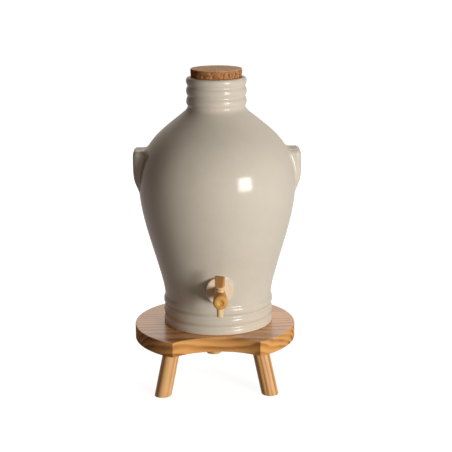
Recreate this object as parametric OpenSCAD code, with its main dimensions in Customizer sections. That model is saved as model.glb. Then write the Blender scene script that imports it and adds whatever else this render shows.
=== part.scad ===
// Stoneware vinegar crock with a cork and a wooden tap, on a three-legged pine stool.
// Millimetres, Z up. The tap points along -Y and the two ears lie along X.

/* [Stool] */
// Height of the seat's top above the floor
stool_h = 80; // [65:1:120]
// Radius of the round seat
seat_r = 108; // [100:0.5:130]
// Thickness of the seat board
seat_t = 20; // [17:0.5:28]
// Easing of the seat's edges
seat_ease = 1.2; // [0.4:0.1:3]
// Radius of the hollow sawn out of the seat's front
hollow_r = 87; // [60:1:120]
// How far the hollow cuts back from the front of the round
hollow_depth = 37.3; // [20:0.1:42]
// Diameter of the legs
leg_d = 22; // [16:0.5:26]
// How far the middles of the feet lie in from the seat's edge
feet_in = 9.5; // [0:0.5:20]
// Lean of the legs from upright
leg_lean = 16.4; // [6:0.2:20]
// Turn of the front legs away from straight ahead
leg_turn = 46; // [42:1:60]
// Depth of the blind holes that hold the legs, along the leg
leg_hole_depth = 12.5; // [6:0.5:13]
// Thickness of the glue around and over a leg's end
glue_gap = 0.1; // [0.05:0.05:0.3]

/* [Crock] */
// Height of the crock to its rim
crock_h = 331.5; // [310:0.5:360]
// Thickness of the wall, square to its face
wall_t = 6.5; // [4:0.1:8]
// Thickness of the floor
floor_t = 9; // [6:0.5:14]
// Radius over the rings of the foot
foot_r = 73.4; // [66:0.2:80]
// Rings round the foot
foot_rings = 3; // [2:1:4]
// Radius over the rings of the neck
neck_r = 39.7; // [38.5:0.1:46]
// Height of the ringed neck
neck_h = 37.2; // [32:0.2:42]
// Distance from ring to ring
ring_pitch = 13.4; // [9:0.1:18]
// Depth of the grooves between rings
ring_depth = 1.8; // [0.4:0.1:2.2]
// Lean of the wall just above the foot, from upright
waist_lean = 3.4; // [0:0.2:10]
// Height at which the flare's slope is set
flare_h = 80; // [65:1:110]
// Radius of the flare there
flare_r = 80.5; // [76:0.5:88]
// Lean of the wall there, from upright
flare_lean = 15.4; // [6:0.2:22]
// Height of the widest part of the belly
belly_h = 192; // [170:1:205]
// Radius of the belly
belly_r = 104.2; // [98:0.2:112]
// Height of the middle of the shoulder
shoulder_h = 250; // [240:1:258]
// Radius of the shoulder there
shoulder_r = 83.9; // [76:0.2:90]
// Lean of the shoulder there, from upright
shoulder_lean = 39.7; // [30:0.2:46]
// Lean of the shoulder where it meets the neck
throat_lean = 50.8; // [42:0.2:56]
// Height of the hollow curve between shoulder and neck
throat_h = 8.3; // [5:0.1:12]
// Width of that curve
throat_w = 6.1; // [4:0.1:9]
// Rounding of the rim
rim_round = 2; // [0.8:0.1:2.4]
// Height of the hollow under the base
base_recess = 1.5; // [0.5:0.1:3]
// Width of the ring that the base stands on
base_ring_w = 11; // [6:0.5:20]
// How far right of the seat's middle the crock stands
crock_dx = 4.7; // [-8:0.1:8]
// How far behind the seat's middle the crock stands
crock_dy = 9.1; // [-4:0.1:14]

/* [Ears] */
// How far the ears stand out past the belly
ear_out = 6.9; // [5:0.1:15]
// Height of the ears' flat tops above the base
ear_top = 237; // [226:0.5:246]
// Height at which the ears run out into the belly
ear_foot = 185.5; // [176:0.5:194]
// Width of the ears
ear_w = 39; // [30:0.5:50]
// Rounding of the ears' corners
ear_round = 6; // [3:0.5:9]
// Radius of the curve that runs each ear out into the belly
ear_sweep_r = 35; // [26:1:42]
// Thickness of the slip that joins an ear to the wall
slip_gap = 0.1; // [0.05:0.05:0.3]

/* [Stopper] */
// Diameter of the cork at its top
cork_top_d = 68; // [62:0.5:69]
// Diameter of the cork at its lower end
cork_end_d = 64.4; // [58:0.2:64.8]
// Length of the cork
cork_l = 30; // [22:0.5:34]
// How far the cork stands out of the rim
cork_stand = 11; // [5:0.5:15]
// Easing of the cork's edges
cork_ease = 0.8; // [0.3:0.1:2]
// Gap between the cork and the mouth that it wedges in
cork_gap = 0.3; // [0.2:0.05:0.5]

/* [Tap] */
// Height of the tap's axis above the crock's base
tap_h = 65; // [60:0.5:76]
// Diameter of the pale collar
collar_d = 35.5; // [30:0.5:42]
// Thickness of the collar
collar_t = 4; // [3:0.1:7]
// Rounding of the collar's front edge
collar_ease = 1; // [0.3:0.1:2]
// Diameter of the cork bush in the crock's wall
bush_d = 24; // [20:0.5:28]
// Diameter of the tapered barrel at its front end
barrel_d = 18.8; // [16:0.2:22]
// Diameter of the barrel where it meets the collar
barrel_back_d = 13.6; // [12.6:0.2:18]
// Length of the barrel in front of the collar
barrel_l = 53; // [44:0.5:64]
// Rounding of the barrel's front end
barrel_round = 3.6; // [1:0.1:4]
// Diameter of the dimple in the barrel's front end
dimple_d = 9; // [4:0.5:10]
// Depth of that dimple
dimple_depth = 1.8; // [0.5:0.1:2.4]
// Diameter of the barrel's shank
shank_d = 11; // [9:0.5:12]
// How far the shank reaches into the crock
shank_reach = 5; // [2:0.5:12]
// Diameter of the channel along the barrel
channel_d = 6; // [4:0.2:6.6]
// Gap around the shank and the bush
bush_gap = 0.05; // [0.02:0.01:0.2]
// Distance from the collar's face to the key
key_out = 30; // [20:0.5:34]
// Diameter of the key where it enters the barrel
key_top_d = 9.4; // [8.8:0.1:11]
// Diameter of the key where it leaves the barrel, and of the spout below
spout_d = 8.4; // [7:0.1:8.8]
// Length of the spout below the barrel
spout_l = 16; // [10:0.1:24]
// Diameter of the outlet up the middle of the key
outlet_d = 4.4; // [3:0.1:5]
// Running gap between the key and the barrel
key_gap = 0.05; // [0.02:0.01:0.1]
// Diameter of the key's lower bead
bead_d = 12; // [10.6:0.1:14]
// Height of each of the key's two beads
bead_h = 2.8; // [1.4:0.1:3.6]
// Height of the key's grip
grip_h = 15.5; // [12:0.5:22]
// Rounding of the grip's top corners
grip_round = 1.4; // [0.4:0.1:3]
// Width of the grip at its top
grip_top_w = 13.1; // [11.5:0.1:18]
// Width of the grip at its foot
grip_foot_w = 10.3; // [8:0.1:11.4]
// Thickness of the wedge-shaped grip at its top
grip_top_t = 3; // [2:0.1:5]
// Thickness of the grip at its foot
grip_foot_t = 8.6; // [6:0.1:10]
// Turn of the grip from square to the barrel when the tap is shut
grip_turn = 25; // [-90:1:90]

/* [Hidden] */
$fn = 96;
// Extra length that lets a cut run clear of the face it opens
past = 1;
// Straight steps in each stretch of the crock's outline, and in each ring
stretch_steps = 10;
ring_steps = 8;
// Straight steps in a small rounded edge
round_steps = 6;

clay = [0.78, 0.74, 0.67];
pine = [0.80, 0.60, 0.38];
cork_brown = [0.63, 0.46, 0.30];
pale_wood = [0.86, 0.76, 0.64];
honey_wood = [0.76, 0.57, 0.32];

// Heights on the crock, from its base
foot_h = foot_rings * ring_pitch;
neck_foot = crock_h - neck_h;
throat_foot = neck_foot - throat_h;
// Outline without its rings, as stations of height, radius and slope
waist_r = foot_r - ring_depth;
throat_r = neck_r - ring_depth;
STATIONS = [
    [foot_h, waist_r, tan(waist_lean)],
    [flare_h, flare_r, tan(flare_lean)],
    [belly_h, belly_r, 0],
    [shoulder_h, shoulder_r, -tan(shoulder_lean)],
    [throat_foot, throat_r + throat_w, -tan(throat_lean)],
    [neck_foot, throat_r, 0]
];

// Cubic from station a to station b at a share t of the way up
function cubic_r(a, b, t) =
    let (rise = b[0] - a[0])
    (2*t^3 - 3*t^2 + 1) * a[1] + (t^3 - 2*t^2 + t) * rise * a[2]
    + (3*t^2 - 2*t^3) * b[1] + (t^3 - t^2) * rise * b[2];

function cubic_slope(a, b, t) =
    (6*t^2 - 6*t) * (a[1] - b[1]) / (b[0] - a[0])
    + (3*t^2 - 4*t + 1) * a[2] + (3*t^2 - 2*t) * b[2];

// Stretch of the outline that holds a height
function stretch(h, i = 0) =
    i == len(STATIONS) - 2 || h <= STATIONS[i + 1][0] ? i : stretch(h, i + 1);

// Radius and slope of the plain wall at a height
function wall_r(h) =
    h <= foot_h ? waist_r
    : h >= neck_foot ? throat_r
    : let (i = stretch(h), a = STATIONS[i], b = STATIONS[i + 1])
      cubic_r(a, b, (h - a[0]) / (b[0] - a[0]));

function wall_slope(h) =
    h <= foot_h || h >= neck_foot ? 0
    : let (i = stretch(h), a = STATIONS[i], b = STATIONS[i + 1])
      cubic_slope(a, b, (h - a[0]) / (b[0] - a[0]));

// Inner radius, a wall's thickness in from the plain wall and square to it
function inner_r(h) = wall_r(h) - wall_t * sqrt(1 + wall_slope(h)^2);

// Ring profile: a groove at 0 and at every pitch after it
function ring_r(r, h) = r - ring_depth * cos(180 * h / ring_pitch)^2;

// Points of the rings round a foot or neck of radius r, from height low and as far as a rise
function rings(r, low, rise) =
    let (step = ring_pitch / ring_steps)
    [for (k = [0:ceil(rise / step) - 1]) [ring_r(r, k * step), low + k * step]];

// Heights of the outline's points between the foot and the neck
WALL_HEIGHTS = [
    for (i = [0:len(STATIONS) - 2])
        for (k = [0:stretch_steps - 1])
            STATIONS[i][0] + (STATIONS[i + 1][0] - STATIONS[i][0]) * k / stretch_steps
];

// Points of an arc about [x, y], from angle a to angle b
function arc(x, y, r, a, b) =
    [for (k = [0:round_steps]) let (t = a + (b - a) * k / round_steps) [x + r*cos(t), y + r*sin(t)]];

// The cork wedges in the mouth, which has the same taper
cork_taper = (cork_top_d - cork_end_d) / 2 / cork_l;
cork_end_h = crock_h + cork_stand - cork_l;
function mouth_r(h) = cork_end_d / 2 + cork_gap + max(0, h - cork_end_h) * cork_taper;

// Reach of the ears from the crock's middle line
ear_reach = belly_r + ear_out;

// The collar sits on a flat pad that stands just clear of the wall above it
collar_r = collar_d / 2;
pad_clear = 0.4;
pad_y = wall_r(tap_h + collar_r) + pad_clear;
pad_r = collar_r - collar_ease;
pad_depth = pad_y - inner_r(tap_h - pad_r);
// The shank reaches in past the leaning wall, and the bush as far as its foot
shank_in = pad_y - inner_r(tap_h) + shank_reach;
bush_l = pad_y - inner_r(tap_h - bush_d / 2);
barrel_r = barrel_d / 2;
key_y = pad_y + collar_t + key_out;
key_foot_r = spout_d / 2;
key_top_r = key_top_d / 2;
// Radius of the barrel at a distance in front of the collar
function barrel_at(out) = barrel_back_d / 2 + (barrel_r - barrel_back_d / 2) * out / (barrel_l - barrel_round);
// The plug reaches as far above and below the axis as the barrel does under the front of the bead
plug_r = barrel_at(key_out + bead_d / 2);
key_taper = (key_top_r - key_foot_r) / (2 * plug_r);
// The grip stands on two beads, the upper one narrower, clear of the barrel
bead_lift = 0.3;
bead_step = 0.6;
bead_z = plug_r + bead_lift;
grip_z = bead_z + 1.5 * bead_h;
tip_z = -plug_r - spout_l;
// Radius of the round blank that the grip is cut from, and the height of the cone at its foot
blank_r = grip_top_w / 2 + 1;
blank_cone_h = 5;

// Middle of the seat, from the crock's middle line
seat_x = -crock_dx;
seat_y = -crock_dy;
seat_low = stool_h - seat_t;
feet_r = seat_r - feet_in;
hollow_y = seat_y - seat_r + hollow_depth - hollow_r;
leg_below = seat_low / cos(leg_lean);
LEG_TURNS = [-90 - leg_turn, -90 + leg_turn, 90];

// Middle of the whole object on the floor, which is the frame's origin
front_y = -(pad_y + collar_t + barrel_l);
back_y = max(belly_r, seat_y + seat_r, seat_y + feet_r + leg_d / 2 / cos(leg_lean));
mid_y = (front_y + back_y) / 2;
mid_x = (max(ear_reach, seat_x + seat_r) + min(-ear_reach, seat_x - seat_r)) / 2;

// Places things given from the crock's middle line at floor height
module on_floor() {
    translate([-mid_x, -mid_y, 0]) children();
}

// Places things given from the middle of the crock's base
module on_seat() {
    on_floor() translate([0, 0, stool_h]) children();
}

// Places things given along the tap's axis, from the pad outwards
module at_tap() {
    on_seat() translate([0, -pad_y, tap_h]) rotate([90, 0, 0]) children();
}

// Places things given up the key's axis, from the barrel's middle
module at_key() {
    on_seat() translate([0, -key_y, tap_h]) children();
}

// Outside of the crock as a full solid
module crock_outside() {
    rotate_extrude()
        polygon(concat(
            [[0, 0]],
            rings(foot_r, 0, foot_h),
            [for (h = WALL_HEIGHTS) [wall_r(h), h]],
            rings(neck_r, neck_foot, neck_h - rim_round),
            arc(ring_r(neck_r, neck_h) - rim_round, crock_h - rim_round, rim_round, 0, 90),
            [[0, crock_h]]
        ));
}

// Inside of the crock: the chamber, the neck and the tapered mouth
module crock_inside() {
    neck_bore_r = mouth_r(0);
    chamber = [for (h = WALL_HEIGHTS) if (h > foot_h && inner_r(h) > neck_bore_r) [inner_r(h), h]];
    rotate_extrude()
        polygon(concat(
            [[0, floor_t]],
            arc(waist_r - 2 * wall_t, floor_t + wall_t, wall_t, -90, 0),
            chamber,
            [[neck_bore_r, neck_foot]],
            [[neck_bore_r, cork_end_h]],
            [[mouth_r(crock_h + past), crock_h + past]],
            [[0, crock_h + past]]
        ));
}

// Thrown stoneware jar with its rings, the flat pad for the tap and the tap's hole
module crock_body() {
    color(clay)
        difference() {
            union() {
                on_seat() crock_outside();
                at_tap() translate([0, 0, -pad_depth]) cylinder(r = pad_r, h = pad_depth);
            }
            on_seat() crock_inside();
            on_seat()
                translate([0, 0, -past])
                    cylinder(r = waist_r - base_ring_w, h = base_recess + past);
            at_tap() translate([0, 0, -pad_y]) cylinder(d = bush_d, h = pad_y + past);
        }
}

// Side of an ear: flat top, upright face and a curve that runs out into the belly
module ear_side() {
    sweep_h = ear_foot + sqrt(ear_sweep_r^2 - (ear_sweep_r - ear_out)^2);
    root_r = wall_r(ear_top) - wall_t;
    polygon(concat(
        [[root_r, ear_top], [root_r, ear_foot]],
        arc(ear_reach - ear_sweep_r, sweep_h, ear_sweep_r, asin((ear_foot - sweep_h) / ear_sweep_r), 0),
        arc(ear_reach - ear_round, ear_top - ear_round, ear_round, 0, 90)
    ));
}

// Outline with four round corners, between x = -w/2 and w/2 and from y = low to y = high
module soft_outline(w, low, high) {
    x = w / 2 - ear_round;
    polygon(concat(
        arc(x, high - ear_round, ear_round, 0, 90),
        arc(-x, high - ear_round, ear_round, 90, 180),
        arc(-x, low + ear_round, ear_round, 180, 270),
        arc(x, low + ear_round, ear_round, 270, 360)
    ));
}

// Ear on the right, rounded as seen from the front, from the side and from above
module ear() {
    color(clay)
        difference() {
            intersection() {
                rotate([90, 0, 0]) linear_extrude(height = ear_w, center = true) ear_side();
                rotate([90, 0, 90])
                    linear_extrude(height = ear_reach) soft_outline(ear_w, ear_foot, ear_top);
                translate([0, 0, ear_foot])
                    linear_extrude(height = ear_top - ear_foot)
                        rotate(-90) soft_outline(ear_w, 0, ear_reach);
            }
            rotate_extrude()
                polygon(concat(
                    [[0, foot_h]],
                    [for (h = WALL_HEIGHTS) [wall_r(h) + slip_gap, h]],
                    [[0, neck_foot]]
                ));
        }
}

module ear_right() {
    on_seat() ear();
}

module ear_left() {
    on_seat() mirror([1, 0, 0]) ear();
}

// Tapered cork with eased edges
module cork_stopper() {
    top_r = cork_top_d / 2;
    end_r = cork_end_d / 2;
    color(cork_brown)
        on_seat()
            translate([0, 0, cork_end_h])
                rotate_extrude()
                    polygon([
                        [0, 0],
                        [end_r - cork_ease, 0],
                        [end_r + cork_taper * cork_ease, cork_ease],
                        [top_r - cork_taper * cork_ease, cork_l - cork_ease],
                        [top_r - cork_ease, cork_l],
                        [0, cork_l]
                    ]);
}

// Cork sleeve that seals the shank in the wall
module tap_bush() {
    color(cork_brown)
        at_tap()
            translate([0, 0, -bush_l])
                difference() {
                    cylinder(d = bush_d - 2 * bush_gap, h = bush_l);
                    translate([0, 0, -past]) cylinder(d = shank_d + 2 * bush_gap, h = bush_l + 2 * past);
                }
}

// Pale turned disc between the barrel's shoulder and the crock
module tap_collar() {
    color(pale_wood)
        at_tap()
            difference() {
                rotate_extrude()
                    polygon(concat(
                        [[0, 0], [collar_r, 0]],
                        arc(collar_r - collar_ease, collar_t - collar_ease, collar_ease, 0, 90),
                        [[0, collar_t]]
                    ));
                translate([0, 0, -past]) cylinder(d = shank_d + 2 * bush_gap, h = collar_t + 2 * past);
            }
}

// Turned barrel: shank, tapered body, dished front end, channel and the key's tapered hole
module tap_barrel() {
    front = collar_t + barrel_l;
    dimple_r = (dimple_d^2 / 4 + dimple_depth^2) / (2 * dimple_depth);
    key_z = collar_t + key_out;
    color(honey_wood)
        at_tap()
            difference() {
                union() {
                    translate([0, 0, -shank_in]) cylinder(d = shank_d, h = shank_in + collar_t + past);
                    rotate_extrude()
                        polygon(concat(
                            [[0, collar_t], [barrel_back_d / 2, collar_t]],
                            arc(barrel_r - barrel_round, front - barrel_round, barrel_round, 0, 90),
                            [[0, front]]
                        ));
                }
                translate([0, 0, front + dimple_r - dimple_depth]) sphere(r = dimple_r);
                translate([0, 0, -shank_in - past]) cylinder(d = channel_d, h = shank_in + past + key_z);
                translate([0, -plug_r - past, key_z])
                    rotate([-90, 0, 0])
                        cylinder(
                            r1 = key_foot_r + key_gap - past * key_taper,
                            r2 = key_top_r + key_gap + past * key_taper,
                            h = 2 * plug_r + 2 * past
                        );
            }
}

// Front view of the key's grip: wider at the top, with soft top corners
module grip_front() {
    x = grip_top_w / 2 - grip_round;
    polygon(concat(
        [[-grip_foot_w / 2, -past], [grip_foot_w / 2, -past]],
        arc(x, grip_h - grip_round, grip_round, 0, 90),
        arc(-x, grip_h - grip_round, grip_round, 90, 180)
    ));
}

// Side view of the grip: a wedge, thick at the foot and thin at the top
module grip_side() {
    thins = (grip_foot_t - grip_top_t) / 2 / grip_h;
    foot_y = grip_foot_t / 2 + past * thins;
    top_y = grip_top_t / 2 - past * thins;
    polygon([[-foot_y, -past], [foot_y, -past], [top_y, grip_h + past], [-top_y, grip_h + past]]);
}

// Grip: a paddle cut out of a round blank that starts as a cone on the upper bead
module grip() {
    intersection() {
        rotate([90, 0, 0]) linear_extrude(height = 2 * blank_r + past, center = true) grip_front();
        rotate([90, 0, 90]) linear_extrude(height = 2 * blank_r + past, center = true) grip_side();
        rotate_extrude()
            polygon([
                [0, 0], [bead_d / 2 - bead_step, 0], [blank_r, blank_cone_h],
                [blank_r, grip_h + past], [0, grip_h + past]
            ]);
    }
}

// Turned part of the key: spout, tapered plug and two beads
module key_turning() {
    round_r = bead_h / 2;
    low_x = bead_d / 2 - round_r;
    rotate_extrude()
        polygon(concat(
            [[0, tip_z], [key_foot_r, tip_z], [key_foot_r, -plug_r]],
            [[key_top_r, plug_r], [key_top_r, bead_z]],
            arc(low_x, bead_z + round_r, round_r, -90, 90),
            arc(low_x - bead_step, bead_z + bead_h + round_r, round_r, -90, 90),
            [[0, bead_z + 2 * bead_h]]
        ));
}

// Key: the turned part with a grip on top, the outlet up its middle and the port in its side
module tap_key() {
    color(honey_wood)
        at_key()
            difference() {
                union() {
                    key_turning();
                    translate([0, 0, grip_z]) rotate(-grip_turn) grip();
                }
                translate([0, 0, tip_z - past])
                    cylinder(d = outlet_d, h = outlet_d / 2 - tip_z + past);
                rotate([0, 90, 0]) cylinder(d = outlet_d, h = key_top_d);
            }
}

// Line of a leg, from its foot on the floor up into the seat
module along_leg(turn) {
    on_floor()
        translate([seat_x, seat_y, 0])
            rotate(turn) translate([feet_r, 0, 0]) rotate([0, -leg_lean, 0]) children();
}

// Round seat with eased edges, a hollow sawn out of its front and three blind holes below
module stool_seat() {
    color(pine)
        difference() {
            on_floor()
                translate([seat_x, seat_y, seat_low])
                    rotate_extrude()
                        polygon(concat(
                            [[0, 0]],
                            arc(seat_r - seat_ease, seat_ease, seat_ease, -90, 0),
                            arc(seat_r - seat_ease, seat_t - seat_ease, seat_ease, 0, 90),
                            [[0, seat_t]]
                        ));
            on_floor()
                translate([seat_x, hollow_y, 0]) {
                    translate([0, 0, seat_low - past]) cylinder(r = hollow_r, h = seat_t + 2 * past);
                    translate([0, 0, stool_h - seat_ease])
                        cylinder(r1 = hollow_r, r2 = hollow_r + 2 * seat_ease, h = 2 * seat_ease);
                    translate([0, 0, seat_low - seat_ease])
                        cylinder(r1 = hollow_r + 2 * seat_ease, r2 = hollow_r, h = 2 * seat_ease);
                }
            for (turn = LEG_TURNS)
                along_leg(turn)
                    cylinder(d = leg_d + 2 * glue_gap, h = leg_below + leg_hole_depth + glue_gap);
        }
}

// Round leg, sawn level at the floor and glued into its hole
module leg(turn) {
    floor_r = 2 * feet_r;
    color(pine)
        difference() {
            along_leg(turn)
                translate([0, 0, -leg_d]) cylinder(d = leg_d, h = leg_d + leg_below + leg_hole_depth);
            translate([0, 0, -2 * leg_d]) cylinder(r = floor_r, h = 2 * leg_d);
        }
}

module stool_leg_front_left() {
    leg(LEG_TURNS[0]);
}

module stool_leg_front_right() {
    leg(LEG_TURNS[1]);
}

module stool_leg_back() {
    leg(LEG_TURNS[2]);
}

crock_body();
ear_left();
ear_right();
cork_stopper();
tap_bush();
tap_collar();
tap_barrel();
tap_key();
stool_seat();
stool_leg_front_left();
stool_leg_front_right();
stool_leg_back();
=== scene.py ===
"""Stoneware vinegar crock with a cork and a wooden tap, on its three-legged pine stool.

Shapes are worked out in millimetres in the frame's own axes: Z up, the tap along -Y, the ears along X.
"""
import math

import bmesh
import bpy
import numpy as np
from mathutils import Matrix, Vector


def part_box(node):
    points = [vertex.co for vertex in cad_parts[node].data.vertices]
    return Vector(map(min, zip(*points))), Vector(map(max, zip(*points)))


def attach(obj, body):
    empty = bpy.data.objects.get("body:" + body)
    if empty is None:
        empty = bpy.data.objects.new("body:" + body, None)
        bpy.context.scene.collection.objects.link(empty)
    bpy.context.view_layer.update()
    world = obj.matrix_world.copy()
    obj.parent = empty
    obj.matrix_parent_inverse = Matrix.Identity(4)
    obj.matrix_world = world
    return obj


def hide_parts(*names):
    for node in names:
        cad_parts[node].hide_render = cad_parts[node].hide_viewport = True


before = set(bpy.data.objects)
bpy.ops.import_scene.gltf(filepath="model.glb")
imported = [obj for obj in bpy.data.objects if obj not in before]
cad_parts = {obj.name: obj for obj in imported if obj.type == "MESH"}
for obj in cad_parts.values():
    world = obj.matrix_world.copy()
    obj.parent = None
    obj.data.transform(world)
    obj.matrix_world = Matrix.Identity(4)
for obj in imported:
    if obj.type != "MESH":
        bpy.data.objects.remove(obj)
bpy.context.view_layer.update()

# Stool seat: a round board of flat-sawn pine, with a hollow sawn out of its front for the glass under
# the tap. Its edges are eased by hand, and it is finished with a satin varnish.
MM = 0.001
CREASE = 40.0


class Field:
    """A number, colour or vector that varies over a surface: one output socket of a finish."""

    def __init__(self, socket):
        self.socket = socket

    def node(self, kind, sockets, settings=None, out=0):
        """Adds a node to this finish, with its settings first and then its sockets' values or links."""
        made = self.socket.id_data.nodes.new(kind)
        for name, value in (settings or {}).items():
            if name == "stops":
                stops = made.color_ramp.elements
                while len(stops) < len(value):
                    stops.new(1.0)
                for stop, (position, colour) in zip(stops, value):
                    stop.position = position
                    stop.color = colour
            else:
                setattr(made, name, value)
        for name, value in sockets.items():
            if isinstance(value, Field):
                value.feed(made, name)
            else:
                made.inputs[name].default_value = value
        return Field(made.outputs[out])

    def feed(self, node, name):
        """Links this socket to an input of a node."""
        self.socket.id_data.links.new(self.socket, node.inputs[name])

    def math(self, operation, first, second=0.0):
        """Adds a Math node, which works on values and numbers."""
        return self.node("ShaderNodeMath", {0: first, 1: second}, {"operation": operation})

    def __add__(self, other):
        return self.math("ADD", self, other)

    def __sub__(self, other):
        return self.math("SUBTRACT", self, other)

    def __rsub__(self, other):
        return self.math("SUBTRACT", other, self)

    def __mul__(self, other):
        return self.math("MULTIPLY", self, other)

    def __truediv__(self, other):
        return self.math("DIVIDE", self, other)

    def __rtruediv__(self, other):
        return self.math("DIVIDE", other, self)

    __radd__ = __add__
    __rmul__ = __mul__


def paint(red, green, blue):
    """A colour as it is read off a screen, from 0 to 255, for a colour socket."""
    parts = [c / 255 for c in (red, green, blue)]
    return [c / 12.92 if c <= 0.04045 else ((c + 0.055) / 1.055) ** 2.4 for c in parts] + [1.0]


def new_finish(name):
    """A new material, its surface shader, and the place on the piece that its pattern starts from."""
    material = bpy.data.materials.new(name)
    material.use_nodes = True
    nodes = material.node_tree.nodes
    place = nodes.new("ShaderNodeTexCoord").outputs["Object"]
    return material, nodes["Principled BSDF"], Field(place)


def noise(place, scale, detail=3.0, roughness=0.55):
    """Soft random values around one half, with a number of lumps to the metre."""
    sockets = {"Vector": place, "Scale": scale, "Detail": detail, "Roughness": roughness}
    return place.node("ShaderNodeTexNoise", sockets)


def stretched(place, *factors):
    """A place with its X, Y and Z each made larger or smaller."""
    return place.node("ShaderNodeVectorMath", {0: place, 1: factors}, {"operation": "MULTIPLY"})


def distance(place):
    """How far a place is from its origin."""
    return place.node("ShaderNodeVectorMath", {0: place}, {"operation": "LENGTH"}, "Value")


def upward(place):
    """The Z of a place or of a direction."""
    return place.node("ShaderNodeSeparateXYZ", {0: place}, out="Z")


def ease(value, low, high):
    """Rises smoothly from 0 to 1 as a value goes from low to high."""
    sockets = {"Value": value, "From Min": low, "From Max": high}
    return value.node("ShaderNodeMapRange", sockets, {"interpolation_type": "SMOOTHSTEP"})


def mixed(share, first, second):
    """The first colour, and as much of the second as the share says."""
    return share.node("ShaderNodeMix", {0: share, 6: first, 7: second}, {"data_type": "RGBA"}, 2)


def shaded(colour, light):
    """A colour made darker or lighter all over by a number near 1."""
    return light.node("ShaderNodeVectorMath", {0: colour, "Scale": light}, {"operation": "SCALE"})


def surface(shader, colour, roughness, height, depth):
    """Gives a shader its varying colour, roughness and relief, with the relief's depth in millimetres."""
    colour.feed(shader, "Base Color")
    roughness.feed(shader, "Roughness")
    height.node("ShaderNodeBump", {"Distance": depth * MM, "Height": height}).feed(shader, "Normal")


ring_away = 100.0
grain_depth = 0.08


def wood(name, grain, ring, early, late, bands, rough, gloss, colour_above=None, varnish=0.0):
    """A wood finish. The grain's matrix has X along the fibres and its origin on the pith, in millimetres.
    The ring is a year's growth at ring_away from the pith, and years get narrower outwards.
    Bands say how much the late wood shows, rough how rough the bare wood is, and gloss how much it shines.
    Varnish lies on faces that look up. Given colour_above, the wood turns to that colour between two
    heights."""
    material, shader, place = new_finish(name)
    turn = {"Vector": place, "Location": grain.translation * MM, "Rotation": grain.to_euler()}
    board = place.node("ShaderNodeMapping", turn, {"vector_type": "TEXTURE"})
    reach = distance(stretched(board, 0.0, 1.0, 1.0))
    along = stretched(board, 0.2, 1.0, 1.0)
    drift = (noise(along, 22.0, 2.0) - 0.5) * 2.4 + (noise(along, 120.0, 2.0) - 0.5) * 0.25
    year = reach * reach / (2 * ring * ring_away * MM * MM) + drift
    season = year.math("FRACT", year)
    late_share = ease(season, 0.1, 0.7) - ease(season, 0.75, 1.0)
    fibre = noise(stretched(board, 0.03, 1.0, 1.0), 900.0, 4.0, 0.6)
    patch = noise(along, 20.0, 2.0)
    strength = 0.4 + ease(noise(along, 34.0, 2.0), 0.35, 0.65) * 0.6 - ease(reach, 0.18, 0.25) * 0.42
    colour = mixed(late_share * strength * bands + (patch - 0.5) * 0.35, early, late)
    if colour_above:
        low, high, upper_colour = colour_above
        colour = mixed(ease(upward(place) / MM, low, high) * (0.7 + fibre * 0.3), colour, upper_colour)
    light = 0.85 + fibre * 0.2 + patch * 0.1
    roughness = rough + fibre * 0.1 - late_share * 0.03
    surface(shader, shaded(colour, light), roughness, fibre * 0.8 + late_share * 0.2, grain_depth)
    shader.inputs["Specular IOR Level"].default_value = gloss
    if varnish:
        facing_up = upward(place.node("ShaderNodeNewGeometry", {}, out="Normal"))
        coat = 0.05 + ease(facing_up, 0.5, 0.95) * varnish
        coat.feed(shader, "Coat Weight")
        shader.inputs["Coat IOR"].default_value = 1.8
        shader.inputs["Coat Roughness"].default_value = 0.24
    return material


def box_mm(node):
    """Lowest and highest corner of a node at rest, in millimetres."""
    return [np.array(corner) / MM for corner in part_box(node)]


def shift(x, y, z):
    """A move along X, Y and Z."""
    return Matrix.Translation((x, y, z))


def spin(degrees, axis):
    """A turn about one axis."""
    return Matrix.Rotation(math.radians(degrees), 4, axis)


def skin(name, rows, ring=False, sharp=CREASE):
    """A closed mesh over rows of points in millimetres. Each row is a loop of as many points.
    Flat caps shut the first and last row, or the last row joins the first to make a ring.
    Faces that meet at more than the sharp angle, in degrees, show an edge."""
    count = len(rows[0])
    faces = []
    for i in range(len(rows) if ring else len(rows) - 1):
        low = i * count
        high = (i + 1) % len(rows) * count
        for k in range(count):
            after = (k + 1) % count
            faces.append((low + k, low + after, high + after, high + k))
    if not ring:
        faces.append(tuple(range(count)))
        faces.append(tuple(range((len(rows) - 1) * count, len(rows) * count)))
    mesh = bpy.data.meshes.new(name)
    mesh.from_pydata([tuple(np.array(p) * MM) for row in rows for p in row], [], faces)
    shape = bmesh.new()
    shape.from_mesh(mesh)
    bmesh.ops.recalc_face_normals(shape, faces=shape.faces)
    shape.to_mesh(mesh)
    shape.free()
    mesh.shade_smooth()
    mesh.set_sharp_from_angle(angle=math.radians(sharp))
    piece = bpy.data.objects.new(name, mesh)
    bpy.context.scene.collection.objects.link(piece)
    return piece


def fit(piece, material, slot, body, *nodes):
    """Dresses a piece, lets it move with its body, and lets it stand for its nodes."""
    piece.data.materials.clear()
    piece.data.materials.append(material)
    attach(piece, body)
    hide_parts(*nodes)


def arc(x, y, r, start, end, steps=6):
    """Points of an arc about x, y between two angles in degrees."""
    turns = np.radians(np.linspace(start, end, steps + 1))
    return [(x + r * math.cos(t), y + r * math.sin(t)) for t in turns]


seat_low, seat_high = box_mm("stool_seat")
seat_r = (seat_high[0] - seat_low[0]) / 2
seat_x = (seat_high[0] + seat_low[0]) / 2
seat_y = seat_high[1] - seat_r
seat_ease = 1.2
seat_border = 0.8
round_steps = 200
hollow_r = 87.0
hollow_depth = 37.3
hollow_steps = 80
hollow_away = seat_r - hollow_depth + hollow_r
seat_pith_front = 150.0
seat_pith_down = 170.0


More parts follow.
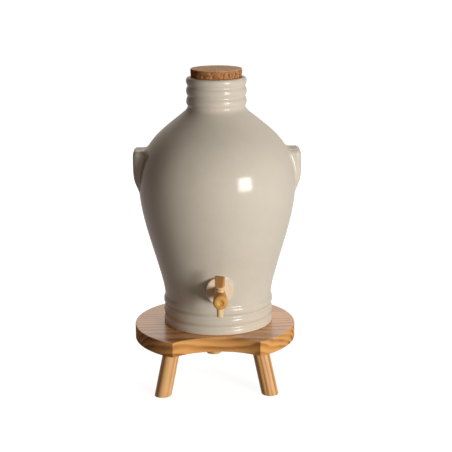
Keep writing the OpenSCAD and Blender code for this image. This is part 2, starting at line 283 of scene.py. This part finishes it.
def seat_outline(inset):
    """Loop around the seat, moved in by an inset: the round edge, and then the hollow."""
    round_r = seat_r - inset
    cut_r = hollow_r + inset
    round_turn = math.acos((hollow_away**2 + round_r**2 - cut_r**2) / (2 * hollow_away * round_r))
    cut_turn = math.acos((hollow_away**2 + cut_r**2 - round_r**2) / (2 * hollow_away * cut_r))
    points = []
    for t in np.linspace(round_turn, 2 * math.pi - round_turn, round_steps, endpoint=False):
        points.append((seat_x + round_r * math.sin(t), seat_y - round_r * math.cos(t)))
    for t in np.linspace(-cut_turn, cut_turn, hollow_steps, endpoint=False):
        points.append((seat_x + cut_r * math.sin(t), seat_y - hollow_away + cut_r * math.cos(t)))
    return points


seat_edge = [(seat_ease + seat_border, seat_low[2])]
seat_edge += [(seat_ease - x, z) for x, z in arc(0, seat_low[2] + seat_ease, seat_ease, -90, 0)]
seat_edge += [(seat_ease - x, z) for x, z in arc(0, seat_high[2] - seat_ease, seat_ease, 0, 90)]
seat_edge += [(seat_ease + seat_border, seat_high[2])]
stool_seat = skin("stool_seat_board", [[(x, y, z) for x, y in seat_outline(d)] for d, z in seat_edge])
seat_pith = shift(0, seat_y - seat_pith_front, seat_high[2] - seat_pith_down)
seat_pine = wood(
    "seat_pine", seat_pith @ spin(2, "Z") @ spin(1.5, "Y"), ring=16.0,
    early=paint(221, 163, 96), late=paint(144, 80, 28), bands=0.9, rough=0.3, gloss=0.0, varnish=0.85,
)
fit(stool_seat, seat_pine, "pine", "stool", "stool_seat")

# Stool legs: three pine dowels, 22 mm thick, glued into slanted blind holes under the seat.
# They splay outwards, and their feet are sawn level and rubbed smooth at the edge.
leg_r = 11.0
leg_lean = 16.4
leg_ease = 0.9
leg_in_seat = 12.5
leg_steps = 64
sole_border = 4.0
plain_from = 8.0
plain_rows = 8
leg_pith = shift(26, 17, 0)
feet_in = 9.5
feet_r = seat_r - feet_in
lean_sin = math.sin(math.radians(leg_lean))
lean_cos = math.cos(math.radians(leg_lean))
leg_end = seat_low[2] / lean_cos + leg_in_seat


def leg_rows(place):
    """Loops up a leg, from the level foot to the flat end inside the seat."""
    rows = []
    turns = np.linspace(0, 2 * math.pi, leg_steps, endpoint=False)
    for inset, up in [(sole_border, 0), (leg_ease, 0), (leg_ease * 0.3, leg_ease * 0.3), (0, leg_ease)]:
        loop = []
        for t in turns:
            x = (leg_r - inset) * math.cos(t)
            z = (up - x * lean_sin) / lean_cos
            loop.append(place @ Vector((x, (leg_r - inset) * math.sin(t), z)))
        rows.append(loop)
    for up in np.linspace(plain_from, leg_end, plain_rows):
        rows.append([place @ Vector((leg_r * math.cos(t), leg_r * math.sin(t), up)) for t in turns])
    return rows


for side, turn in [("front_left", -136.0), ("front_right", -44.0), ("back", 90.0)]:
    leg_place = shift(seat_x, seat_y, 0) @ spin(turn, "Z") @ shift(feet_r, 0, 0) @ spin(-leg_lean, "Y")
    leg = skin("stool_leg_dowel_" + side, leg_rows(leg_place))
    leg_pine = wood(
        "leg_pine_" + side, leg_place @ leg_pith @ spin(-91, "Y"), ring=1.6,
        early=paint(231, 181, 120), late=paint(154, 92, 38), bands=0.8, rough=0.34, gloss=0.2,
    )
    fit(leg, leg_pine, "pine", "stool", "stool_leg_" + side)

# Crock: a stoneware jar thrown on the wheel, ringed at the foot and the neck, with a flat pad for the tap.
# It is hollow, and covered inside and out with a satin-gloss putty-grey glaze, bare only under its foot.
# The base cuts the lowest of the foot's three rings short by foot_skip.
crock_low, crock_high = box_mm("crock_body")
crock_x = (crock_low[0] + crock_high[0]) / 2
crock_y = (crock_low[1] + crock_high[1]) / 2
crock_z = crock_low[2]
crock_h = crock_high[2] - crock_z
wall_t = 6.5
floor_t = 9.0
foot_r = 73.4
belly_r = 104.2
neck_r = 39.7
neck_h = 38.1
ring_pitch = 13.4
ring_depth = 1.8
ring_steps = 20
foot_pitch = 14.2
foot_skip = 4.0
foot_h = 3 * foot_pitch - foot_skip
foot_edge_w = 1.7
foot_edge_h = 0.8
neck_foot = crock_h - neck_h
waist_r = foot_r - ring_depth
throat_r = neck_r - ring_depth
stand_in = 11.0
stand_h = 1.5
middle_r = 2.0
rim_round = 3.6
mouth_end_r = 32.5
mouth_taper = 0.06
mouth_ease = 0.8
cork_in = 19.0
cork_end_h = crock_h - cork_in
tap_h = 65.0
collar_r = 17.75
pad_r = collar_r - 1.0
pad_stand = 0.4
pad_skirt = 2.6
pad_blend = 3.2
pad_clear_h = 88.0
pad_row_step = 1.1
row_step = 2.6
bush_r = 12.0
hole_in = 40.0
hole_out = 10.0
glaze_crease = 60.0
# Height, radius and slope of the plain wall, from the waist up to the throat.
STATIONS = [
    (foot_h, waist_r, math.tan(math.radians(3.4))),
    (80.0, 80.5, math.tan(math.radians(15.4))),
    (192.0, belly_r, 0.0),
    (250.0, 83.9, -math.tan(math.radians(39.7))),
    (neck_foot - 8.3, throat_r + 6.1, -math.tan(math.radians(50.8))),
    (neck_foot, throat_r, 0.0),
]


def wall(h):
    """Radius and slope of the plain wall at a height, from cubics between the stations."""
    h = min(max(h, STATIONS[0][0]), STATIONS[-1][0])
    for a, b in zip(STATIONS, STATIONS[1:]):
        if h <= b[0]:
            break
    rise = b[0] - a[0]
    t = (h - a[0]) / rise
    r = (2 * t**3 - 3 * t**2 + 1) * a[1] + (t**3 - 2 * t**2 + t) * rise * a[2]
    r += (3 * t**2 - 2 * t**3) * b[1] + (t**3 - t**2) * rise * b[2]
    slope = (6 * t**2 - 6 * t) * (a[1] - b[1]) / rise
    slope += (3 * t**2 - 4 * t + 1) * a[2] + (3 * t**2 - 2 * t) * b[2]
    return r, slope


def inner_r(h):
    """Radius of the chamber at a height, a wall's thickness in and square to the wall."""
    r, slope = wall(h)
    return r - wall_t * math.sqrt(1 + slope**2)


def ringed(r, up, pitch):
    """Radius of a ringed foot or neck: a groove at 0 and at every pitch above it."""
    return r - ring_depth * abs(math.cos(math.pi * up / pitch)) ** 4


pad_y = wall(tap_h + collar_r)[0] + pad_stand


def crock_outside():
    """Radii and heights up the outside, from under the base to the rim.
    Rows lie closer together up to the top of the pad."""
    stand_r = waist_r - stand_in
    points = [(middle_r, stand_h), (stand_r - 1, stand_h), (stand_r + 1, 0)]
    points += [(foot_r - foot_edge_w, 0), (foot_r - 0.6, 0.3)]
    foot_ups = np.arange(foot_edge_h, foot_h - 0.1, foot_pitch / ring_steps)
    points += [(ringed(foot_r, up + foot_skip, foot_pitch), up) for up in foot_ups]
    points += [(wall(h)[0], h) for h in np.arange(foot_h, pad_clear_h, pad_row_step)]
    points += [(wall(h)[0], h) for h in np.arange(pad_clear_h, neck_foot - 0.5, row_step)]
    neck_ups = np.arange(0, crock_h - rim_round - neck_foot, ring_pitch / ring_steps)
    points += [(ringed(neck_r, up, ring_pitch), neck_foot + up) for up in neck_ups]
    rim_r = ringed(neck_r, crock_h - rim_round - neck_foot, ring_pitch)
    return points + arc(rim_r - rim_round, crock_h - rim_round, rim_round, 2, 90, 10)


def crock_inside():
    """Radii and heights down the inside: the tapered mouth, the neck, the chamber and its floor."""
    rim_r = mouth_end_r + cork_in * mouth_taper
    points = arc(rim_r + mouth_ease, crock_h - mouth_ease, mouth_ease, 90, 180, 3)
    points += [(mouth_end_r + up * mouth_taper, cork_end_h + up) for up in (cork_in - 6, cork_in - 13)]
    points += [(mouth_end_r, cork_end_h), (mouth_end_r, cork_end_h - 9)]
    heights = np.arange(neck_foot - 2, foot_h, -4.0)
    points += [(max(mouth_end_r, inner_r(h)), h) for h in heights]
    points += [(waist_r - wall_t, h) for h in (foot_h - 4, 28)]
    points += arc(waist_r - 2 * wall_t, floor_t + wall_t, wall_t, 0, -90)
    return points + [(30, floor_t), (middle_r, floor_t)]


def on_crock(r, turn, h):
    """Place in the frame of a point given from the middle of the crock's base."""
    return np.array([crock_x + r * math.cos(turn), crock_y + r * math.sin(turn), crock_z + h])


def on_pad(point):
    """Brings a point of the outside forward where the flat pad for the tap stands out."""
    away = math.hypot(point[0] - crock_x, point[2] - crock_z - tap_h)
    share = min(max((pad_r + pad_skirt - away) / pad_blend, 0.0), 1.0)
    share = share * share * (3 - 2 * share)
    front = crock_y - pad_y
    if front < point[1] < crock_y:
        point[1] += share * (front - point[1])
    return point


def cut(piece, tool, operation="DIFFERENCE"):
    """Cuts a closed tool out of a piece, or joins it on, and keeps the result as the piece's own mesh."""
    change = piece.modifiers.new("cut", "BOOLEAN")
    change.operation = operation
    change.solver = "EXACT"
    change.object = tool
    mesh = bpy.data.meshes.new_from_object(piece.evaluated_get(bpy.context.evaluated_depsgraph_get()))
    piece.modifiers.clear()
    piece.data = mesh
    bpy.data.objects.remove(tool)
    mesh.set_sharp_from_angle(angle=math.radians(CREASE))


def turned(place, outline, steps=96):
    """Loops of a turning: each radius and height of its outline goes once round the axis of its place."""
    turns = np.linspace(0, 2 * math.pi, steps, endpoint=False)
    return [[place @ Vector((r * math.cos(t), r * math.sin(t), h)) for t in turns] for r, h in outline]


# Columns lie closer together across the pad at the front.
front_turns = np.radians(np.arange(-108, -72, 0.6))
other_turns = np.radians(np.arange(-72, 252, 2.0))
crock_turns = np.concatenate([front_turns, other_turns])
crock_rows = [[on_pad(on_crock(r, t, h)) for t in crock_turns] for r, h in crock_outside()]
crock_rows += [[on_crock(r, t, h) for t in crock_turns] for r, h in crock_inside()]
crock = skin("crock_jar", crock_rows, sharp=glaze_crease)
tap_place = shift(crock_x, crock_y - pad_y, crock_z + tap_h) @ spin(90, "X")
cut(crock, skin("tap_hole", turned(tap_place, [(bush_r, -hole_in), (bush_r, hole_out)])))


def glaze():
    """The putty-grey glaze: faint clouds and specks, thin on the rings' crests, bare clay under the foot.
    Its gloss weakens where the surface turns away from the eye."""
    material, shader, place = new_finish("putty_glaze")
    up = upward(place) / MM - crock_z
    clouds = noise(place, 8.0, 2.0)
    mottle = noise(place, 60.0, 4.0)
    cells = {"Vector": place, "Scale": 420.0}
    grains = place.node("ShaderNodeTexVoronoi", cells, out="Distance")
    which = place.node("ShaderNodeTexVoronoi", cells, out="Color")
    chosen = ease(which.node("ShaderNodeSeparateColor", {0: which}), 0.88, 0.92)
    specks = (1 - ease(grains, 0.10, 0.22)) * chosen
    in_neck = ease(up, neck_foot - 2, neck_foot - 1)
    in_rings = 1 - ease(up, foot_h - 4, foot_h + 2) + in_neck
    foot_turns = (up + foot_skip) * (1 - in_neck) / foot_pitch
    swing = (foot_turns + (up - neck_foot) * in_neck / ring_pitch) * (2 * math.pi)
    crest = ease(swing.math("COSINE", swing), -0.2, -1.0) * in_rings
    colour = mixed(ease(clouds, 0.35, 0.65), paint(200, 191, 174), paint(204, 195, 179))
    colour = mixed(ease(mottle, 0.3, 0.7) * 0.3, colour, paint(208, 200, 185))
    colour = mixed(crest * 0.3, colour, paint(208, 194, 172))
    colour = mixed(specks * 0.3, colour, paint(150, 128, 100))
    bare = 1 - ease(up, 0.5, 1.1)
    colour = mixed(bare, colour, paint(206, 184, 152))
    roughness = 0.5 + mottle * 0.1 + specks * 0.1 + bare * 0.3
    surface(shader, colour, roughness, noise(place, 30.0, 2.0) + mottle * 0.1, 0.22)
    facing = place.node("ShaderNodeLayerWeight", {"Blend": 0.5}, out="Facing")
    coat = (1 - facing * 0.45) * (1 - bare) * 0.52
    coat.feed(shader, "Coat Weight")
    shader.inputs["Coat Roughness"].default_value = 0.15
    shader.inputs["Specular IOR Level"].default_value = 0.0
    return material


putty_glaze = glaze()
fit(crock, putty_glaze, "glazed_stoneware", "crock", "crock_body")

# Ears: two solid stoneware lugs with flat tops, widest near the top and swept back into the wall below.
# They are luted on with slip before firing, and the glaze runs over the joints and softens every edge.
ear_reach = (box_mm("ear_right")[1][0] - box_mm("ear_left")[0][0]) / 2
ear_top = box_mm("ear_right")[1][2] - crock_z
ear_foot = 184.5
ear_half_w = 19.5
ear_top_round = 5.5
ear_side_round = 7.5
ear_wide_h = 222.0
ear_lean_r = 160.0
ear_sweep = 3.7
ear_fillet = 4.5
ear_sink = 0.05
ear_core = np.array([80.0, 0.0, 206.0])
ear_spread = 77.0
ear_spread_up = 8.0
ear_back = 0.8
ray_l = 70.0
ray_halvings = 24


def meet(first, second, r):
    """Distance to the space that lies inside two others, with its common edge rounded."""
    over = np.hypot(np.maximum(first + r, 0), np.maximum(second + r, 0))
    return np.minimum(np.maximum(first, second) + r, 0) + over - r


def ear_gap(points):
    """Distance of points, given from the crock's base, to an ear that melts into the wall."""
    x, y, h = points.T
    down = np.maximum(ear_wide_h - h, 0) / (ear_wide_h - ear_foot)
    drop = (ear_reach - belly_r) * down**ear_sweep + np.maximum(h - ear_wide_h, 0) ** 2 / (2 * ear_lean_r)
    steep = (ear_reach - belly_r) * ear_sweep * down ** (ear_sweep - 1) / (ear_wide_h - ear_foot)
    face = (x - ear_reach + drop) / np.sqrt(1 + steep**2)
    lug = meet(meet(face, h - ear_top, ear_top_round), np.abs(y) - ear_half_w, ear_side_round)
    radii, slopes = np.transpose([wall(level) for level in h])
    shell = (np.hypot(x, y) - radii) / np.sqrt(1 + slopes**2) + ear_sink
    near = np.maximum(ear_fillet - np.abs(lug - shell), 0)
    return np.minimum(lug, shell) - near**2 / (4 * ear_fillet)


def ear_loops():
    """Loops from the middle of an ear's face out onto the wall, where rays from the ear's core come out.
    Each ray's length is found by halving, and the last loop closes the ear inside the wall."""
    turns = np.radians(np.arange(0, 360, 1.5))
    shares = np.linspace(0.02, 1, 90)[:, None]
    tilts = shares * np.radians(ear_spread + ear_spread_up * np.sin(turns))
    rays = [np.cos(tilts), np.sin(tilts) * np.cos(turns), np.sin(tilts) * np.sin(turns)]
    rays = np.stack(rays, axis=2).reshape(-1, 3)
    inside = np.zeros(len(rays))
    outside = np.full(len(rays), ray_l)
    for _ in range(ray_halvings):
        middle = (inside + outside) / 2
        within = ear_gap(ear_core + rays * middle[:, None]) < 0
        inside = np.where(within, middle, inside)
        outside = np.where(within, outside, middle)
    loops = (ear_core + rays * inside[:, None]).reshape(len(shares), len(turns), 3)
    back = ear_core + (loops[-1] - ear_core) * ear_back
    return np.concatenate([loops, [back]])


ear_points = ear_loops()
for side, sign in [("left", -1), ("right", 1)]:
    ear_rows = ear_points * (sign, 1, 1) + (crock_x, crock_y, crock_z)
    ear = skin("crock_ear_" + side, ear_rows, sharp=glaze_crease)
    fit(ear, putty_glaze, "glazed_stoneware", "crock", "ear_" + side)

# Tap bush: a cork sleeve pushed into the hole in the wall, which holds the tap's shank tight.
# It is cut from the same ground and pressed cork as the stopper.
cork_top_z = box_mm("cork_stopper")[1][2]


def ground_cork():
    """Small cork granules of close browns, flecked with dark bark, with a painted sheen that makes the top
    face much paler.
    """
    material, shader, place = new_finish("ground_cork")
    warp = place.node("ShaderNodeTexNoise", {"Vector": place, "Scale": 260.0, "Detail": 2.0}, out="Color")
    push = warp.node("ShaderNodeVectorMath", {0: warp, "Scale": 0.003}, {"operation": "SCALE"})
    lumps = place.node("ShaderNodeVectorMath", {0: place, 1: push}, {"operation": "ADD"})
    cell = {"Vector": lumps, "Scale": 420.0}
    gap = lumps.node("ShaderNodeTexVoronoi", cell, {"feature": "DISTANCE_TO_EDGE"}, "Distance")
    tone = lumps.node("ShaderNodeTexVoronoi", cell, out="Color")
    tone = tone.node("ShaderNodeSeparateColor", {0: tone})
    fine = noise(place, 1300.0, 3.0, 0.6)
    fleck = ease(noise(stretched(lumps, 1.0, 1.0, 0.35), 330.0, 3.0), 0.55, 0.68)
    browns = [paint(152, 94, 52), paint(178, 122, 76), paint(187, 132, 87), paint(208, 156, 110)]
    stops = list(zip((0.0, 0.3, 0.75, 1.0), browns))
    colour = tone.node("ShaderNodeValToRGB", {"Fac": tone}, {"stops": stops})
    colour = shaded(colour, 0.86 + fine * 0.28)
    seam = 1 - ease(gap, 0.01, 0.08)
    colour = mixed(seam * 0.3, colour, paint(110, 64, 32))
    colour = mixed(fleck * 0.7, colour, paint(96, 52, 26))
    # Painted sheen: the top face is painted much paler, standing in for light glancing off it.
    painted_top_sheen = ease(upward(place) / MM, cork_top_z - 0.9, cork_top_z - 0.2)
    colour = mixed(painted_top_sheen * 0.8, colour, paint(246, 214, 180))
    surface(shader, colour, 0.6 + fine * 0.2, ease(gap, 0.0, 0.2) + fine * 0.35 - fleck * 0.5, 0.3)
    shader.inputs["Specular IOR Level"].default_value = 0.0
    return material


cork_finish = ground_cork()
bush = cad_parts["tap_bush"]
bush.data.materials.clear()
bush.data.materials.append(cork_finish)

# Tap collar: a pale turned disc that the barrel's shoulder presses against the pad.
# Bare wood, with its front edge rounded.
collar_t = 4.0
shank_r = 5.5
collar_hole_r = shank_r + 0.05
collar_ease = 1.0
collar_back_ease = 0.4
collar_steps = 128
collar_outline = [(collar_hole_r, 0), (collar_hole_r, collar_t), (shank_r + 3, collar_t)]
collar_outline += arc(collar_r - collar_ease, collar_t - collar_ease, collar_ease, 90, 0)
collar_outline += [(collar_r, collar_back_ease), (collar_r - collar_back_ease, 0)]
collar = skin("tap_collar_disc", turned(tap_place, collar_outline, collar_steps), ring=True)
pale_wood = wood(
    "pale_collar", shift(60, -60, 100) @ spin(82, "Y"), ring=5.0,
    early=paint(230, 209, 182), late=paint(214, 188, 156), bands=0.3, rough=0.5, gloss=0.2,
)
fit(collar, pale_wood, "pale_wood", "crock", "tap_collar")

# Tap barrel: one tapered turning of honey-coloured wood, its shank pushed through the collar into the bush.
# A channel runs along it to the key's tapered cross hole, and its front end is rounded and dished.
barrel_r = 9.4
barrel_back_r = 6.8
barrel_back_ease = 0.4
barrel_l = 53.0
barrel_round = 3.6
dimple_d = 9.0
dimple_depth = 1.8
shank_past = 5.0
shank_ease = 0.5
centre_r = 1.0
key_out = 30.0
channel_r = 3.0
channel_steps = 48
key_top_r = 4.7
spout_r = 4.2
bead_r = 6.0
key_gap = 0.05
barrel_front = collar_t + barrel_l
barrel_taper = (barrel_r - barrel_back_r) / (barrel_l - barrel_round)
plug_r = barrel_back_r + barrel_taper * (key_out + bead_r)
plug_taper = (key_top_r - spout_r) / (2 * plug_r)
shank_in = pad_y - inner_r(tap_h) + shank_past
dimple_r = (dimple_d**2 / 4 + dimple_depth**2) / (2 * dimple_depth)
dimple_turn = math.degrees(math.asin(dimple_d / 2 / dimple_r))
dimple_mid = barrel_front + dimple_r - dimple_depth
barrel_outline = [(centre_r, -shank_in), (shank_r - shank_ease, -shank_in)]
barrel_outline += [(shank_r, shank_ease - shank_in), (shank_r, collar_t)]
barrel_outline += [(barrel_back_r - barrel_back_ease, collar_t)]
for out in np.linspace(barrel_back_ease, barrel_l - barrel_round - 0.5, 12):
    barrel_outline.append((barrel_back_r + barrel_taper * out, collar_t + out))
barrel_outline += arc(barrel_r - barrel_round, barrel_front - barrel_round, barrel_round, 0, 80, 10)
barrel_outline += arc(0, dimple_mid, dimple_r, dimple_turn - 90, -87, 8)
barrel = skin("tap_barrel_turning", turned(tap_place, barrel_outline))
key_place = tap_place @ shift(0, 0, collar_t + key_out) @ spin(-90, "X")
key_hole = [(spout_r + key_gap - plug_taper, -plug_r - 1), (key_top_r + key_gap + plug_taper, plug_r + 1)]
cut(barrel, skin("key_hole", turned(key_place, key_hole)))
channel = [(channel_r, -shank_in - 1), (channel_r, collar_t + key_out)]
cut(barrel, skin("channel", turned(tap_place, channel, channel_steps)))
honey_wood = wood(
    "honey_barrel", tap_place @ shift(24, -30, 0) @ spin(88, "Y"), ring=1.6,
    early=paint(205, 154, 79), late=paint(182, 124, 50), bands=0.4, rough=0.42, gloss=0.25,
)
fit(barrel, honey_wood, "honey_wood", "crock", "tap_barrel")

# Tap key: a tapered plug with a side port and a hollow spout, turned in one with two beads, and a grip
# that is cut to a flat wedge. It drops into the barrel's cross hole from above and turns there.
spout_l = 16.0
spout_ease = 0.3
spout_end = -plug_r - spout_l
outlet_r = 2.2
port_l = 8.0
bead_h = 2.8
bead_step = 0.6
bead_lift = 0.3
bead_z = plug_r + bead_lift
grip_z = bead_z + 1.5 * bead_h
grip_h = 15.5
grip_top_w = 13.1
grip_foot_w = 10.3
grip_top_t = 3.0
grip_foot_t = 8.6
grip_round = 1.4
grip_turn = math.radians(-25)
grip_corner = 14
blank_r = grip_top_w / 2 + 1
blank_cone_h = 5.0
key_outline = [(centre_r, spout_end), (spout_r - spout_ease, spout_end), (spout_r, spout_end + spout_ease)]
key_outline += [(spout_r, -plug_r), (key_top_r, plug_r), (key_top_r, bead_z)]
key_outline += arc(bead_r - bead_h / 2, bead_z + bead_h / 2, bead_h / 2, -80, 90, 10)
key_outline += arc(bead_r - bead_step - bead_h / 2, bead_z + 1.5 * bead_h, bead_h / 2, -80, 90, 10)
key_outline += [(centre_r, bead_z + 2 * bead_h)]


def grip_rows():
    """Loops up the grip: a paddle cut from a cone, wider and thinner towards the top, with soft corners."""
    levels = [(h, 0.0) for h in np.linspace(0, grip_h - grip_round, 16)]
    levels += [(grip_h - grip_round + y, grip_round - x) for x, y in arc(0, 0, grip_round, 10, 84, 6)]
    rows = []
    for h, inset in levels:
        share = h / grip_h
        half_w = (grip_foot_w + (grip_top_w - grip_foot_w) * share) / 2 - inset
        half_t = (grip_foot_t + (grip_top_t - grip_foot_t) * share) / 2 - inset * 0.6
        blank = bead_r - bead_step + (blank_r - bead_r + bead_step) * min(h / blank_cone_h, 1)
        loop = []
        for t in np.linspace(0, 2 * math.pi, 96, endpoint=False):
            turn = math.atan2(half_t * math.sin(t), half_w * math.cos(t))
            bounds = abs(math.cos(turn)) / half_w, abs(math.sin(turn)) / half_t, 1 / blank
            r = sum(b**grip_corner for b in bounds) ** (-1 / grip_corner)
            loop.append((r * math.cos(turn + grip_turn), r * math.sin(turn + grip_turn), grip_z + h))
        rows.append([key_place @ Vector(p) for p in loop])
    return rows


key = skin("tap_key_turning", turned(key_place, key_outline))
cut(key, skin("grip", grip_rows()), "UNION")
outlet = [(outlet_r, spout_end - 1), (outlet_r, outlet_r)]
cut(key, skin("outlet", turned(key_place, outlet, channel_steps)))
port = [(outlet_r, 0), (outlet_r, port_l)]
cut(key, skin("port", turned(key_place @ spin(90, "Y"), port, channel_steps)))
grip_foot_z = crock_z + tap_h + grip_z + bead_h / 2
# The grip, above its foot, is painted a darker brown.
key_wood = wood(
    "honey_key", key_place @ shift(16, 22, 0) @ spin(-88, "Y"), ring=1.2,
    early=paint(229, 199, 152), late=paint(202, 159, 103), bands=0.4, rough=0.42, gloss=0.2,
    colour_above=(grip_foot_z - 1, grip_foot_z + 1, paint(174, 116, 50)),
)
fit(key, key_wood, "honey_wood", "key", "tap_key")

# Stopper: a tapered bung of ground and pressed cork, wedged in the mouth and standing 11 mm out of it.
# Its faces are sanded, which leaves pits where granules have come away.
cork_l = 30.0
cork_top_r = 34.0
cork_end_r = 32.2
cork_ease = 0.8
cork_steps = 240
pit_count = 360
pit_radii = (0.7, 1.7)
pit_depths = (0.1, 0.4)
cork_outline = [(r, 0) for r in np.linspace(centre_r, cork_end_r - cork_ease, 12)]
cork_outline += [(cork_end_r - 0.2, 0.3)]
for up in np.arange(cork_ease, cork_l - cork_ease, 0.8):
    cork_outline.append((cork_end_r + (cork_top_r - cork_end_r) * up / cork_l, up))
cork_outline += arc(cork_top_r - cork_ease - 0.1, cork_l - cork_ease, cork_ease, 10, 90, 4)
cork_outline += [(r, cork_l) for r in np.arange(cork_top_r - cork_ease - 1, centre_r, -1.1)]
cork_place = shift(crock_x, crock_y, crock_z + cork_end_h)
cork = skin("cork_bung", turned(cork_place, cork_outline, cork_steps))
draw = np.random.RandomState(7)
places = np.empty(len(cork.data.vertices) * 3)
facing = np.empty_like(places)
cork.data.vertices.foreach_get("co", places)
cork.data.vertices.foreach_get("normal", facing)
places = places.reshape(-1, 3)
facing = facing.reshape(-1, 3)
pitted = places.copy()
for i in draw.choice(len(places), pit_count, replace=False):
    pit_r = draw.uniform(*pit_radii) * MM
    pit_depth = draw.uniform(*pit_depths) * MM
    away = np.linalg.norm(places - places[i], axis=1) / pit_r
    near = away < 1
    pitted[near] -= facing[near] * (pit_depth * (1 - away[near] ** 2) ** 2)[:, None]
cork.data.vertices.foreach_set("co", pitted.ravel())
fit(cork, cork_finish, "cork", "stopper", "cork_stopper")

# Studio: a pale floor under a white surround that gives a weak warm fill. A softbox stands to the right
# of the camera, a large weak one in front, and a warm one behind and above.
# The camera stands where the photograph was taken from.
BLACK = [0, 0, 0, 1]
WHITE = [1, 1, 1, 1]
floor_half = 12.0
floor_drop = 0.5 * MM
floor_glow_painted_shade = 0.95
floor_gain = 0.06
floor_gain_from = 0.15
floor_gain_to = 0.5
warm_fill = [0.055, 0.026, 0.010, 1]
crock_middle = (0.0, 0.0, 0.25)


def is_seen(place):
    """1 where the camera sees a surface straight, or in a reflection or through glass."""
    path = place.node("ShaderNodeLightPath", {}, out="Is Camera Ray")
    outputs = path.socket.node.outputs
    indirect = Field(outputs["Is Glossy Ray"]) + Field(outputs["Is Transmission Ray"])
    return path.math("MAXIMUM", path, indirect)


floor_mesh = bpy.data.meshes.new("floor")
floor_corners = [(-floor_half, -floor_half), (floor_half, -floor_half)]
floor_corners += [(floor_half, floor_half), (-floor_half, floor_half)]
floor_mesh.from_pydata([(x, y, -floor_drop) for x, y in floor_corners], [], [(0, 1, 2, 3)])
floor = bpy.data.objects.new("floor", floor_mesh)
bpy.context.scene.collection.objects.link(floor)
floor_finish, floor_shader, floor_place = new_finish("pale_floor")
floor_shader.inputs["Base Color"].default_value = (0.32, 0.28, 0.24, 1.0)
floor_shader.inputs["Roughness"].default_value = 0.9
floor_shader.inputs["Specular IOR Level"].default_value = 0.0
floor_shader.inputs["Emission Strength"].default_value = 1.0
# Painted shade: the floor's glow is a little weaker near the middle, a painted shade around the object, so
# that its cast shadow still shows.
floor_light = floor_glow_painted_shade + ease(distance(floor_place), floor_gain_from, floor_gain_to) * floor_gain
shaded(mixed(is_seen(floor_place), BLACK, WHITE), floor_light).feed(floor_shader, "Emission Color")
floor_mesh.materials.append(floor_finish)

surround = bpy.data.worlds.new("surround")
surround.use_nodes = True
backdrop = surround.node_tree.nodes["Background"]
mixed(is_seen(Field(backdrop.outputs["Background"])), warm_fill, WHITE).feed(backdrop, "Color")
bpy.context.scene.world = surround


def softbox(name, size, watts, place, aim, colour=(1.0, 1.0, 1.0)):
    """A square area light, turned to face a point."""
    light = bpy.data.lights.new(name, "AREA")
    light.size = size
    light.energy = watts
    light.color = colour
    lamp = bpy.data.objects.new(name, light)
    lamp.location = place
    lamp.rotation_euler = (Vector(aim) - Vector(place)).to_track_quat("-Z", "Y").to_euler()
    bpy.context.scene.collection.objects.link(lamp)


softbox("key_light", size=0.90, watts=66.0, place=(1.645, -2.014, 0.484), aim=(0.035, -0.08, 0.28))
softbox("front_fill", size=2.0, watts=4.0, place=(0.1, -2.4, 0.3), aim=crock_middle)
softbox("back_light", size=1.2, watts=22.0, place=(0.1, 1.5, 1.7), aim=crock_middle,
        colour=(1.0, 0.94, 0.88))

lens = bpy.data.cameras.new("camera")
lens.sensor_width = 36.0
lens.lens = 100.94
camera = bpy.data.objects.new("camera", lens)
camera_place = Vector((crock_x - 34.8, crock_y - 1654.2, 620.4)) * MM
camera_turn = spin(-1.6, "Z") @ spin(76.08, "X")
camera_roll = spin(-0.39, "Z")
camera.matrix_world = shift(*camera_place) @ camera_turn @ camera_roll
bpy.context.scene.collection.objects.link(camera)
bpy.context.scene.camera = camera
bpy.context.scene.view_settings.view_transform = "Standard"

bpy.context.view_layer.update()
